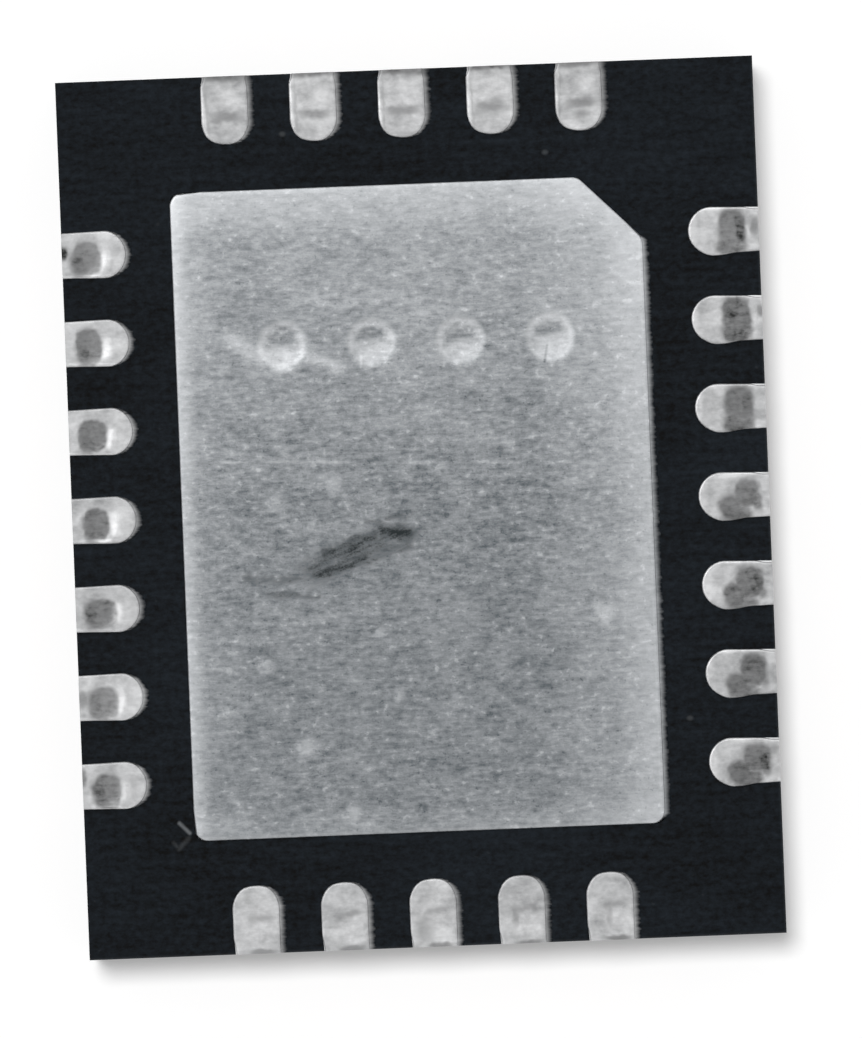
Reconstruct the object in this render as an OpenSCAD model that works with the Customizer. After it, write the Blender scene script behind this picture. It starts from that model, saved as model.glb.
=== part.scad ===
// Plastic quad flat no-lead chip, lying on its marking face with the lands up.
// Millimetres. The origin is the middle of the marking face, X runs across the body and Y along it.
// The half-etched copper frame, the die and the bond wires are cast into one block of mould compound.

/* [Body] */
// Width of the sawn body, along X
body_w = 3.94; // [3.7:0.01:4.6]
// Length of the sawn body, along Y
body_l = 4.96; // [4.7:0.01:5.6]
// Height from the marking face to the soldering plane
body_h = 0.75; // [0.65:0.01:1]
// How far the lands stand proud of the mould compound
standoff = 0.02; // [0.005:0.005:0.05]
// Diameter of the dot on the marking face, at the first lead's corner
dot_d = 0.4; // [0.2:0.05:0.6]
// Depth of that dot
dot_depth = 0.02; // [0.01:0.005:0.05]
// Distance from the dot's centre to both sides of its corner
dot_inset = 0.55; // [0.35:0.05:1]

/* [Copper frame] */
// Thickness of the copper sheet
sheet_t = 0.2; // [0.16:0.01:0.25]
// Thickness that is left where the sheet is half etched from the land side
etched_t = 0.1; // [0.06:0.01:0.13]
// How far the saw cuts leave the frame off the body's centre, along X
saw_shift = -0.015; // [-0.05:0.005:0.05]

/* [Leads] */
// Spacing of the leads
pitch = 0.5; // [0.42:0.01:0.55]
// Number of leads on each long side
side_leads = 7; // [3:1:7]
// Number of leads on each short side
end_leads = 5; // [3:1:5]
// Width of a land at its round tip
lead_w = 0.268; // [0.2:0.002:0.32]
// Width of a land at the sawn side
root_w = 0.25; // [0.18:0.002:0.3]
// Length of a land, from the sawn side to its tip
lead_l = 0.386; // [0.3:0.002:0.45]
// How far the etched lip of a lead runs out under the compound
lead_lip = 0.045; // [0.02:0.005:0.07]
// How far that lip stays behind the sawn side
lip_setback = 0.1; // [0.05:0.01:0.15]

/* [Exposed pad] */
// Gap between the land tips and the exposed pad, across the body
pad_gap_x = 0.249; // [0.2:0.001:0.5]
// Gap between the land tips and the exposed pad, along the body
pad_gap_y = 0.262; // [0.2:0.001:0.5]
// Radius of the pad's corners
pad_r = 0.06; // [0.03:0.01:0.15]
// Leg of the corner cut that shows where the first lead is
pad_cut = 0.367; // [0.2:0.001:0.5]
// How far the etched lip of the paddle runs out under the compound
paddle_lip = 0.075; // [0.03:0.005:0.1]
// Width of the tie bars to the body's corners
tie_w = 0.2; // [0.12:0.01:0.25]

/* [Contact marks] */
// Number of round test marks in a row on the pad
mark_count = 4; // [1:1:4]
// Diameter of a round test mark
mark_d = 0.27; // [0.1:0.01:0.35]
// Depth of a round test mark
mark_depth = 0.01; // [0.004:0.001:0.015]
// Distance of that row from the pad's middle, along Y
mark_y = 0.94; // [0:0.01:1.2]
// Diameter of the dent that a test contact leaves in a land
dent_d = 0.18; // [0.08:0.01:0.2]
// Depth of such a dent
dent_depth = 0.006; // [0.003:0.001:0.015]
// Distance of the dents from the sawn side: right, bottom, left and top row
dent_at = [0.16, 0.17, 0.2, 0.23]; // [0.12:0.01:0.26]

/* [Die] */
// Width of the silicon die
die_w = 2; // [1.4:0.05:2.3]
// Length of the silicon die
die_l = 2.8; // [2.4:0.05:3.2]
// Thickness of the silicon die
die_t = 0.2; // [0.1:0.01:0.25]
// Thickness of the film that bonds the die to the paddle
attach_t = 0.025; // [0.01:0.005:0.05]
// How far the film squeezes out round the die
attach_rim = 0.05; // [0.02:0.01:0.1]

/* [Bond wires] */
// Diameter of the gold wire
wire_d = 0.025; // [0.018:0.001:0.04]
// Diameter of the squashed ball on the die
ball_d = 0.06; // [0.045:0.005:0.08]
// Height of the squashed ball
ball_h = 0.016; // [0.01:0.002:0.03]
// Height of the loop above the die
loop_h = 0.11; // [0.08:0.01:0.15]
// Radius of the bend at the top of the loop
bend_r = 0.04; // [0.02:0.005:0.045]
// Width of the flattened stitch on the lead
stitch_w = 0.045; // [0.04:0.005:0.07]
// Length of the flattened stitch on the lead
stitch_l = 0.07; // [0.05:0.005:0.1]
// Spacing of the bond pads along the die's edges
bond_pitch = 0.36; // [0.25:0.01:0.38]
// Distance of the bond pads from the die's edge
bond_inset = 0.08; // [0.06:0.01:0.15]

/* [Hidden] */
$fn = 64;
wire_sides = 8;
descent_steps = 4;

mould_h = body_h - standoff;
back_z = body_h - sheet_t;
attach_z = back_z - attach_t;
die_z = attach_z - die_t;

pad_w = body_w - 2 * (lead_l + pad_gap_x);
pad_l = body_l - 2 * (lead_l + pad_gap_y);
tip_inset = lead_l - lead_w / 2;
saw_overrun = lead_w;

// The four sides in turn, from the first lead: right, bottom, left and top
SIDES = [0, 1, 2, 3];
lead_count = 2 * (side_leads + end_leads);
side_start = [0, side_leads, side_leads + end_leads, lead_count - end_leads];
function is_long(side) = side % 2 == 0;
function side_count(side) = is_long(side) ? side_leads : end_leads;
function side_reach(side) = (is_long(side) ? body_w : body_l) / 2;
function die_reach(side) = (is_long(side) ? die_w : die_l) / 2;
function side_of(lead) = max([for (side = SIDES) if (lead >= side_start[side]) side]);
function steps_from_middle(lead) =
    (side_count(side_of(lead)) - 1) / 2 - (lead - side_start[side_of(lead)]);

function numbered(name, lead) = str(name, lead < 9 ? "_0" : "_", lead + 1);
LEADS = [for (lead = [0 : lead_count - 1]) lead];

// Places

module in_frame()
    translate([saw_shift, 0])
        children();

// Turned so that X points out of the body across the given lead's side
module facing_side(lead)
    in_frame()
        rotate(-90 * side_of(lead))
            children();

// At the point where the lead's middle line leaves the body
module at_lead(lead)
    facing_side(lead)
        translate([side_reach(side_of(lead)), steps_from_middle(lead) * pitch])
            children();

// Trims an outline to the sawn body, or leaves it long
module saw(cut) {
    if (cut)
        intersection() {
            children();
            square([body_w, body_l], center = true);
        }
    else
        children();
}

// A shallow round dent in the soldering plane
module dent(d, depth) {
    ball_r = (pow(d / 2, 2) + pow(depth, 2)) / (2 * depth);
    translate([0, 0, body_h - depth + ball_r])
        sphere(r = ball_r);
}

// Leads

module land_outline() {
    translate([-tip_inset, 0])
        circle(d = lead_w);
    polygon([
        [-tip_inset, -lead_w / 2],
        [0, -root_w / 2],
        [saw_overrun, -root_w / 2],
        [saw_overrun, root_w / 2],
        [0, root_w / 2],
        [-tip_inset, lead_w / 2],
    ]);
}

module lead_lip_outline() {
    lip_w = lead_w + 2 * lead_lip;
    translate([-tip_inset, 0])
        circle(d = lip_w);
    translate([-tip_inset, -lip_w / 2])
        square([tip_inset - lip_setback, lip_w]);
}

module lead_blank(lead, cut) {
    translate([0, 0, back_z]) {
        linear_extrude(sheet_t)
            saw(cut) at_lead(lead) land_outline();
        linear_extrude(etched_t)
            at_lead(lead) lead_lip_outline();
    }
}

module lead(lead) {
    color("#c4c6c8")
        difference() {
            lead_blank(lead, true);
            at_lead(lead)
                translate([-dent_at[side_of(lead)], 0])
                    dent(dent_d, dent_depth);
        }
}

// Die paddle

module pad_outline(grow) {
    w = pad_w + 2 * grow;
    l = pad_l + 2 * grow;
    r = pad_r + grow;
    cut_leg = pad_cut + grow * (2 - sqrt(2));
    difference() {
        union() {
            square([w - 2 * r, l], center = true);
            square([w, l - 2 * r], center = true);
            for (x = [-1, 1], y = [-1, 1])
                translate([x * (w / 2 - r), y * (l / 2 - r)])
                    circle(r);
        }
        translate([w / 2, l / 2])
            rotate(45)
                square(cut_leg * sqrt(2), center = true);
    }
}

// One bar from under the pad's corner, past the body's corner
module tie_bar(x, y) {
    foot = [x * (pad_w / 2 - pad_cut), y * (pad_l / 2 - pad_cut)];
    run = [x * body_w / 2 - saw_shift, y * body_l / 2] - foot;
    translate(foot)
        rotate(atan2(run.y, run.x))
            translate([0, -tie_w / 2])
                square([norm(run) + tie_w, tie_w]);
}

module paddle_blank(cut) {
    translate([0, 0, back_z]) {
        linear_extrude(sheet_t)
            in_frame() pad_outline(0);
        linear_extrude(etched_t)
            saw(cut) in_frame() {
                pad_outline(paddle_lip);
                for (x = [-1, 1], y = [-1, 1])
                    tie_bar(x, y);
            }
    }
}

module paddle() {
    color("#989c9f")
        difference() {
            paddle_blank(true);
            in_frame()
                for (mark = [0 : mark_count - 1])
                    translate([(mark - (mark_count - 1) / 2) * pitch, mark_y])
                        dent(mark_d, mark_depth);
        }
}

// Die and its film

module die_attach() {
    color("#8d8f92")
        in_frame()
            translate([-die_w / 2 - attach_rim, -die_l / 2 - attach_rim, attach_z])
                cube([die_w + 2 * attach_rim, die_l + 2 * attach_rim, attach_t]);
}

module die() {
    color("#4a5560")
        in_frame()
            translate([-die_w / 2, -die_l / 2, die_z])
                cube([die_w, die_l, die_t]);
}

// Bond wires
// A station is [run, height, lean, half width, half depth]: the run along the span, the height above the die,
// the direction in which the wire leans there and the half axes of its section.

function ball_stations() =
    let (shoulder_h = ball_h + (ball_d - wire_d) / 2)
    [
        [0, 0, 90, ball_d / 2, ball_d / 2],
        [0, ball_h, 90, ball_d / 2, ball_d / 2],
        [0, shoulder_h, 90, wire_d / 2, wire_d / 2],
    ];

function bend_stations() = [
    for (lean = [90 : -45 : 0])
        [bend_r * (1 - sin(lean)), loop_h - bend_r * (1 - cos(lean)), lean, wire_d / 2, wire_d / 2]
];

// A parabola from the top of the loop down to the lead, which lies on the far side of the die's thickness
function descent_stations(span) =
    let (reach = span - bend_r, fall = loop_h + die_t + attach_t)
    [
        for (step = [1 : descent_steps - 1])
            let (t = step / descent_steps)
            [bend_r + reach * t, loop_h - fall * t * t, -atan(2 * fall * t / reach), wire_d / 2, wire_d / 2]
    ];

function stitch_station(span) = [span, -die_t - attach_t, -90, stitch_w / 2, stitch_l / 2];

function wire_stations(span) =
    concat(ball_stations(), bend_stations(), descent_stations(span), [stitch_station(span)]);

// One ring of points, in a plane where X is the run and Z points down from the die
function ring(station) = [
    for (corner = [0 : wire_sides - 1])
        let (
            turn = 360 * (corner + 0.5) / wire_sides,
            depth = station[4] * sin(turn)
        )
        [
            station[0] - depth * sin(station[2]),
            station[3] * cos(turn),
            -station[1] - depth * cos(station[2]),
        ]
];

module swept_wire(span) {
    rings = [for (station = wire_stations(span)) ring(station)];
    last = len(rings) - 1;
    function at(row, corner) = row * wire_sides + corner % wire_sides;
    polyhedron(
        points = [for (row = rings) each row],
        faces = concat(
            [[for (corner = [0 : wire_sides - 1]) at(0, corner)]],
            [
                for (row = [0 : last - 1], corner = [0 : wire_sides - 1])
                    [at(row, corner), at(row + 1, corner), at(row + 1, corner + 1), at(row, corner + 1)]
            ],
            [[for (corner = [wire_sides - 1 : -1 : 0]) at(last, corner)]]
        )
    );
}

module bond_wire(lead) {
    side = side_of(lead);
    from = [die_reach(side) - bond_inset, steps_from_middle(lead) * bond_pitch];
    to = [side_reach(side) - tip_inset, steps_from_middle(lead) * pitch];
    run = to - from;
    color("#d9b45a")
        facing_side(lead)
            translate([from.x, from.y, die_z])
                rotate(atan2(run.y, run.x))
                    swept_wire(norm(run));
}

// Mould compound, cast round everything above

module mould_body() {
    color("#1f2326")
        difference() {
            translate([-body_w / 2, -body_l / 2, 0])
                cube([body_w, body_l, mould_h]);
            translate([body_w / 2 - dot_inset, body_l / 2 - dot_inset, -dot_depth])
                cylinder(d = dot_d, h = 2 * dot_depth);
            paddle_blank(false);
            die_attach();
            die();
            for (lead = LEADS) {
                lead_blank(lead, false);
                bond_wire(lead);
            }
        }
}

mould_body();
paddle();
die_attach();
die();
for (lead = LEADS) {
    lead(lead);
    bond_wire(lead);
}
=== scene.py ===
import math
import random
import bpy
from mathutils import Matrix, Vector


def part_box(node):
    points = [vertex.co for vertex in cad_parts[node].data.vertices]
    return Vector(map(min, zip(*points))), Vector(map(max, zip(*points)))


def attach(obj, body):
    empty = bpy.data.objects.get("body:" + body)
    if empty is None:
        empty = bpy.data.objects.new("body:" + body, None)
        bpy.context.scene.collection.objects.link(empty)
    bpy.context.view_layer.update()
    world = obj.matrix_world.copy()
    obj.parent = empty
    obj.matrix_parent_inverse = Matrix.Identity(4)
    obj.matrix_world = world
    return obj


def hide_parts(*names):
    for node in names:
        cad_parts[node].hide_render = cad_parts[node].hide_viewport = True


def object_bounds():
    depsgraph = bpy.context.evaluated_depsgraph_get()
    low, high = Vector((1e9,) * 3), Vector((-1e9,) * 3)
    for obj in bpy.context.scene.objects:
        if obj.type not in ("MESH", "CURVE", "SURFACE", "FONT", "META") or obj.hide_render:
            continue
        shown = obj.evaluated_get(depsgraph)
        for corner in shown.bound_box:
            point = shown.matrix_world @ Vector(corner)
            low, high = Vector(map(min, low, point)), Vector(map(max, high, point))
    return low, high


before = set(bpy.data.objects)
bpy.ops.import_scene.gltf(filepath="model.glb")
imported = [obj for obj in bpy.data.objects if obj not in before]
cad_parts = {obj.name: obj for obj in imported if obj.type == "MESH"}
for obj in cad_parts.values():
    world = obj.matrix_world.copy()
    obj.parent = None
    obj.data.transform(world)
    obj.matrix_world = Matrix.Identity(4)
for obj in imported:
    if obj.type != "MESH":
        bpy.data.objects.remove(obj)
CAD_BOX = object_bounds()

from types import SimpleNamespace

import bmesh
import bpy
from bpy.props import FloatProperty, FloatVectorProperty, IntProperty, PointerProperty
from mathutils import Vector, noise

bl_info = {
    "name": "Quad flat no-lead chip",
    "version": (1, 0, 0),
    "blender": (4, 5, 0),
    "location": "3D View > Sidebar > Chip",
    "description": "Tinned lands and pad, mould compound and a plain stage for the packed chip",
    "category": "Object",
}

# Pieces are modelled in millimetres and brought to metres when they are finished.
MM = 0.001
PER_MM = 1 / MM
BODY_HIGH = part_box("mould_body")[1] * PER_MM
LAND_TOP = CAD_BOX[1].z * PER_MM
MOULD_FACE = BODY_HIGH.z
HALF_WIDTH = BODY_HIGH.x
HALF_LENGTH = BODY_HIGH.y
COPPER_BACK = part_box("paddle")[0].z * PER_MM
VIEW_REACH = 5


def length(name, description, millimetres, least=0):
    """A size in the sidebar."""
    return FloatProperty(
        name=name,
        description=description,
        default=millimetres * MM,
        min=least * MM,
        subtype="DISTANCE",
        unit="LENGTH",
        precision=6,
    )


def colour(name, description, default):
    """A colour in the sidebar."""
    return FloatVectorProperty(
        name=name, description=description, default=default, size=3, min=0, max=1, subtype="COLOR"
    )


def level(name, description, default):
    """A light level or share in the sidebar."""
    return FloatProperty(name=name, description=description, default=default, min=0)


class ChipSizes(bpy.types.PropertyGroup):
    """Sizes of the tinned pad and lands"""

    pad_width: length("Pad width", "Width of the exposed pad", 2.67)
    pad_length: length("Pad length", "Length of the exposed pad", 3.664)
    pad_corner: length("Pad corner", "Radius of the pad's corners", 0.09)
    pad_cut: length("Corner cut", "Leg of the pad's corner cut", 0.367)
    cut_end: length("Cut end", "Radius at the two ends of the corner cut", 0.09)
    pad_lip: length("Paddle lip", "Etched lip round the paddle", 0.075)
    tie_width: length("Tie bar width", "Width of the bars to the body's corners", 0.2)
    etched: length("Etched thickness", "Copper that is left under an etched lip", 0.1)
    land_width: length("Land width", "Width of a land at its round tip", 0.268)
    lead_lip: length("Lead lip", "Etched lip round a lead", 0.045)
    lip_setback: length("Lip setback", "How far a lead's lip stays behind the sawn side", 0.1)
    rim: length("Rim", "Radius of the plated rim of a land", 0.01)
    smear: length("Smear", "Width of the tin that is smeared off a land's edge", 0.026)
    smear_pull: length("Smear pull", "How far the top of a smeared edge is drawn back", 0.009)
    smear_ragged: length("Ragged smear", "How ragged the smeared tin is", 0.003)
    mark: length("Mark radius", "Radius of a round test mark on the pad", 0.135)
    mark_depth: length("Mark depth", "Depth of a round test mark", 0.005)
    dent_depth: length("Dent depth", "Depth of a contact dent in a land", 0.006)


class ChipFinishes(bpy.types.PropertyGroup):
    """Colours of the chip's materials"""

    mould: colour("Mould compound", "Black epoxy compound", (0.0050, 0.0067, 0.0088))
    filler: colour("Filler", "Pale grains and dust on the compound", (0.16, 0.17, 0.18))
    pad_bright: colour("Bright pad", "Clean tin on the pad", (0.706, 0.721, 0.740))
    pad_dull: colour("Dull pad", "Tin that is rubbed grey on the pad", (0.112, 0.127, 0.138))
    pad_stain: colour("Pad stain", "Dark smears on the pad", (0.030, 0.036, 0.038))
    land_bright: colour("Bright land", "Clean tin on the lands", (0.722, 0.726, 0.734))
    land_dull: colour("Dull land", "Tin that is rubbed grey on the lands", (0.118, 0.122, 0.126))
    # Rubbed spots on the lands, painted dark as the dark overhead mirrored in their burnished floors.
    land_rub_and_dark_reflection: colour("Land stain", "Dark rubbed spots on the lands", (0.034, 0.035, 0.0345))
    # Painted shade: the near-black that a smeared edge of tin darkens to down its slope.
    painted_smear_shade: colour("Film", "Thin end of the tin that is smeared over the compound", (0.010, 0.0125, 0.0155))
    copper: colour("Copper", "Copper bared by the saw", (0.62, 0.30, 0.18))
    copper_dull: colour("Dull copper", "Tarnish and saw lines on the copper", (0.27, 0.125, 0.08))
    epoxy: colour("Die attach", "Silver epoxy under the die", (0.42, 0.43, 0.44))
    silicon: colour("Silicon", "The die", (0.09, 0.11, 0.14))
    gold: colour("Gold", "The bond wires", (0.83, 0.58, 0.2))
    seed: IntProperty(name="Wear", description="Changes the wear from land to land", default=7, min=0)


class ChipStage(bpy.types.PropertyGroup):
    """Camera and light levels"""

    view_height: length("View height", "What the picture takes in from top to bottom", 5.861)
    view_x: length("View X", "Camera off the body's middle", 0.055, -VIEW_REACH)
    view_y: length("View Y", "Camera off the body's middle", -0.065, -VIEW_REACH)
    roll: FloatProperty(
        name="Roll",
        description="Turn of the camera",
        default=math.radians(-2.27),
        subtype="ANGLE",
        unit="ROTATION",
    )
    panel: level("Panel level", "Share of the light that comes from the panel overhead", 0.72)
    key: level("Soft box level", "Brightness of the soft box at the upper left", 1.7)
    overhead: level("Overhead level", "Studio straight above, where the dark camera hangs", 0.1)
    sky: level("Studio level", "Studio walls as metal and the camera see them", 0.95)
    fill: level("Fill level", "Share of the light that comes from all round", 0.22)
    floor: level("Floor", "Whiteness of the floor", 0.82)
    floor_glow: level("Floor glow", "White that the camera sees added to the floor", 0.29)


def sizes_in_mm(context):
    """The sidebar's sizes by name, in millimetres."""
    group = context.scene.chip_sizes
    return SimpleNamespace(**{name: getattr(group, name) * PER_MM for name in ChipSizes.__annotations__})


# Shader building

# A grain is how often it repeats in a millimetre along X, Y and Z, its detail and its roughness.
GRAINS = {
    "mould streaks": ((2.5, 26.0, 2.5), 3.0, 0.5),
    "mould mottle": ((22.0, 30.0, 22.0), 4.0, 0.7),
    "mould cloud": ((1.1, 1.6, 1.0), 3.0, 0.5),
    "mould filler": ((70.0, 70.0, 70.0), 1.0, 0.5),
    "mould dust": ((17.0, 19.0, 17.0), 2.0, 0.65),
    "mould saw": ((2.5, 2.5, 110.0), 3.0, 0.6),
    "tin grain": ((14.0, 48.0, 30.0), 2.0, 0.55),
    "tin mottle": ((27.0, 33.0, 27.0), 3.0, 0.55),
    "tin blotch": ((9.0, 12.0, 9.0), 3.0, 0.55),
    "tin cloud": ((2.2, 3.0, 2.0), 3.0, 0.5),
    "tin fine": ((88.0, 96.0, 88.0), 1.0, 0.5),
    "copper saw": ((3.0, 3.0, 120.0), 3.0, 0.6),
    "copper tarnish": ((13.0, 13.0, 13.0), 3.0, 0.6),
    "pad breaks": ((5.0, 1.0, 1.0), 2.0, 0.5),
    "pad spots": ((11.0, 15.0, 11.0), 3.0, 0.6),
    "pad pores": ((46.0, 54.0, 46.0), 1.0, 0.5),
    "pad flecks": ((27.0, 33.0, 27.0), 2.0, 0.5),
    "smudge drift": ((8.0, 10.0, 8.0), 2.0, 0.5),
    "smudge streaks": ((6.0, 38.0, 1.0), 2.0, 0.5),
    "circuit": ((60.0, 6.0, 6.0), 2.0, 0.5),
    "clots": ((20.0, 20.0, 20.0), 3.0, 0.5),
    "drawn": ((25.0, 25.0, 25.0), 2.0, 0.5),
    "fibres": ((3.0, 3.0, 3.0), 3.0, 0.5),
}
GRAIN_MEAN = 0.5
# The levels of a grain at which a speck of it starts and is full.
SPECKS = {
    "mould filler": (0.66, 0.74),
    "mould dust": (0.70, 0.80),
    "pad breaks": (0.38, 0.62),
    "pad spots": (0.60, 0.78),
    "pad pores": (0.64, 0.78),
    "pad flecks": (0.63, 0.75),
}


class Value:
    """A shader socket. Arithmetic on it adds Math nodes."""

    def __init__(self, recipe, socket):
        self.recipe = recipe
        self.socket = socket

    def math(self, operation, *others):
        return self.recipe.node("ShaderNodeMath", {"operation": operation}, [self, *others])

    def __add__(self, other):
        return self.math("ADD", other)

    def __sub__(self, other):
        return self.math("SUBTRACT", other)

    def __rsub__(self, other):
        return self.recipe.node("ShaderNodeMath", {"operation": "SUBTRACT"}, [other, self])

    def __mul__(self, other):
        return self.math("MULTIPLY", other)

    def __truediv__(self, other):
        return self.math("DIVIDE", other)

    def __neg__(self):
        return self.math("MULTIPLY", -1)

    def __abs__(self):
        return self.math("ABSOLUTE")

    __radd__ = __add__
    __rmul__ = __mul__


class Recipe:
    """The node tree of one material or of the world."""

    def __init__(self, tree):
        self.tree = tree
        tree.nodes.clear()

    def node(self, kind, settings, sockets, output=0):
        """Adds a node: first its settings, then the values or links of its sockets."""
        made = self.tree.nodes.new(kind)
        for key, setting in settings.items():
            setattr(made, key, setting)
        pairs = sockets.items() if isinstance(sockets, dict) else enumerate(sockets)
        for key, value in pairs:
            if isinstance(value, Value):
                self.tree.links.new(value.socket, made.inputs[key])
            else:
                made.inputs[key].default_value = value
        if output is None:
            return made
        return Value(self, made.outputs[output])

    def scale(self, vector, factor):
        """A vector or colour times a number."""
        return self.node("ShaderNodeVectorMath", {"operation": "SCALE"}, {"Vector": vector, "Scale": factor})

    def place(self):
        """Object coordinates in millimetres."""
        return self.scale(self.node("ShaderNodeTexCoord", {}, {}, "Object"), PER_MM)

    def split(self, vector):
        made = self.node("ShaderNodeSeparateXYZ", {}, {"Vector": vector}, None)
        return [Value(self, socket) for socket in made.outputs]

    def up(self):
        """How far up the surface looks, from -1 to 1."""
        return self.split(self.node("ShaderNodeNewGeometry", {}, {}, "Normal"))[2]

    def layer(self, name):
        """A value that the mesh holds for each vertex."""
        return self.node("ShaderNodeAttribute", {"attribute_name": name}, {}, "Fac")

    def noise(self, vector, name):
        """A named grain, from 0 to 1."""
        per_mm, detail, roughness = GRAINS[name]
        stretched = self.node("ShaderNodeVectorMath", {"operation": "MULTIPLY"}, [vector, per_mm])
        sockets = {"Vector": stretched, "Scale": 1.0, "Detail": detail, "Roughness": roughness}
        return self.node("ShaderNodeTexNoise", {}, sockets, "Fac")

    def swing(self, vector, name):
        """A named grain about its mean."""
        return self.noise(vector, name) - GRAIN_MEAN

    def specks(self, vector, name):
        """1 on the specks of a named grain, 0 between them."""
        return self.ramp(self.noise(vector, name), *SPECKS[name])

    def ramp(self, value, low, high):
        """0 below low and 1 above high, with a soft step between."""
        return self.node(
            "ShaderNodeMapRange",
            {"interpolation_type": "SMOOTHSTEP"},
            {"Value": value, "From Min": low, "From Max": high},
        )

    def blend(self, share, first, second):
        """A colour between two colours."""
        return self.node("ShaderNodeMix", {"data_type": "RGBA"}, {0: share, 6: first, 7: second}, 2)

    def most(self, *values):
        top = values[0]
        for value in values[1:]:
            top = top.math("MAXIMUM", value)
        return top

    def at_side(self, x, y, far, near):
        """1 at the body's sides, growing from far inside them to near them."""
        return self.most(
            self.ramp(x, HALF_WIDTH - far, HALF_WIDTH - near),
            self.ramp(y, HALF_LENGTH - far, HALF_LENGTH - near),
        )

    def oval(self, x, y, middle, half, soft):
        """1 inside an oval spot, 0 outside."""
        across = (x - middle[0]) / half[0]
        along = (y - middle[1]) / half[1]
        reach = (across * across + along * along).math("SQRT")
        return 1 - self.ramp(reach, 1 - soft, 1 + soft)

    def stroke(self, x, y, start, end, soft):
        """1 on a straight stroke, fading out over its soft edge."""
        run = (end[0] - start[0], end[1] - start[1])
        run_square = run[0] * run[0] + run[1] * run[1]
        dx = x - start[0]
        dy = y - start[1]
        share = self.node(
            "ShaderNodeMath",
            {"operation": "ADD", "use_clamp": True},
            [dx * (run[0] / run_square), dy * (run[1] / run_square)],
        )
        off_x = dx - share * run[0]
        off_y = dy - share * run[1]
        off = (off_x * off_x + off_y * off_y).math("SQRT")
        return 1 - self.ramp(off, 0.0, soft)

    def strokes(self, x, y, rows):
        """The strongest of several strokes."""
        return self.most(*[strength * self.stroke(x, y, *line) for strength, *line in rows])

    def bump(self, height, millimetres):
        sockets = {"Strength": 1.0, "Distance": millimetres * MM, "Height": height}
        return self.node("ShaderNodeBump", {}, sockets, "Normal")

    def surface(self, base, roughness, metallic, normal, **constants):
        sockets = {"Base Color": base, "Roughness": roughness, "Metallic": metallic, "Normal": normal}
        for name, value in constants.items():
            sockets[name.replace("_", " ")] = value
        shader = self.node("ShaderNodeBsdfPrincipled", {}, sockets, "BSDF")
        self.node("ShaderNodeOutputMaterial", {}, {"Surface": shader}, None)


def start_material(name):
    material = bpy.data.materials.new(name)
    material.use_nodes = True
    return material, Recipe(material.node_tree)


def seen_rays(recipe):
    """1 for rays that show a surface to the camera, straight or by reflection."""
    light = recipe.node("ShaderNodeLightPath", {}, {}, None)
    names = ("Is Camera Ray", "Is Glossy Ray", "Is Transmission Ray")
    return recipe.most(*[Value(recipe, light.outputs[name]) for name in names])


def opaque(tint):
    return (*tint, 1.0)


def weigh(weights, values):
    """The sum of named values, each times its weight."""
    return sum(weight * values[name] for name, weight in weights.items())


# Finishes

# Weights say how much of each named value a tone, a roughness or a relief takes on.
# A stroke is its strength, its start, its end and how far it fades.

FLAT = (0.4, 0.6)
MOULD_TONE = {"streaks": 1.8, "mottle": 4.8, "cloud": 1.6}
MOULD_ROUGHNESS = 0.62
MOULD_ROUGH = {"mottle": 0.12, "streaks": -0.08}
MOULD_RELIEF = {"mottle": 1.0, "side_saw": 1.0, "streaks": 0.4}
MOULD_RELIEF_HEIGHT = 0.0012
MOULD_GLOSS = 0.1
# The edge weight is a painted highlight along the right and bottom sawn edges.
FACE_PALE = {"dust": 0.05, "specks": 0.22, "lint": 0.85, "edge": 0.10}
SIDE_GREY = 0.05
SIDE_PALE = {"filler": 0.16, "saw": 0.05}
SAWN_EDGE_HIGHLIGHT = (0.014, 0.002)
SPECK_PLACES = ((-0.699, 2.141), (-0.587, 2.543), (0.780, 1.980), (1.472, -1.246))
SPECK_HALF = (0.016, 0.013)
SPECK_SOFT = 0.7
LINT = (
    (1.00, (-1.433, -1.726), (-1.377, -1.784), 0.018),
    (0.20, (-1.385, -1.815), (-1.440, -1.870), 0.024),
    (0.17, (-1.470, -1.835), (-1.440, -1.870), 0.018),
)
LINT_STRENGTH = 0.9


def mould_material(finishes):
    """Near-black compound: faint flow streaks, dust and filler on the face, a painted highlight along its
    right and bottom sawn edges, saw marks on the sides.
    """
    material, recipe = start_material("mould_compound")
    place = recipe.place()
    x, y = recipe.split(place)[:2]
    up = recipe.up()
    face = recipe.ramp(up, *FLAT)
    side = 1 - recipe.ramp(abs(up), *FLAT)
    parts = {name: recipe.swing(place, "mould " + name) for name in ("streaks", "mottle", "cloud")}
    parts["filler"] = recipe.specks(place, "mould filler")
    parts["dust"] = recipe.specks(place, "mould dust")
    parts["saw"] = recipe.noise(place, "mould saw")
    parts["side_saw"] = side * parts["saw"]
    parts["specks"] = recipe.most(*[recipe.oval(x, y, spot, SPECK_HALF, SPECK_SOFT) for spot in SPECK_PLACES])
    parts["lint"] = recipe.strokes(x, y, LINT) * (LINT_STRENGTH + parts["mottle"])
    # Painted highlight along the chipped right and bottom sawn edges of the face.
    parts["edge"] = recipe.at_side(x, -y, *SAWN_EDGE_HIGHLIGHT)
    black = recipe.scale(finishes.mould, 1 + weigh(MOULD_TONE, parts))
    pale = recipe.most(face * weigh(FACE_PALE, parts), side * (SIDE_GREY + weigh(SIDE_PALE, parts)))
    base = recipe.blend(pale, black, opaque(finishes.filler))
    roughness = MOULD_ROUGHNESS + weigh(MOULD_ROUGH, parts)
    relief = recipe.bump(weigh(MOULD_RELIEF, parts), MOULD_RELIEF_HEIGHT)
    recipe.surface(base, roughness, 0.0, relief, Specular_IOR_Level=MOULD_GLOSS)
    return material


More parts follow.
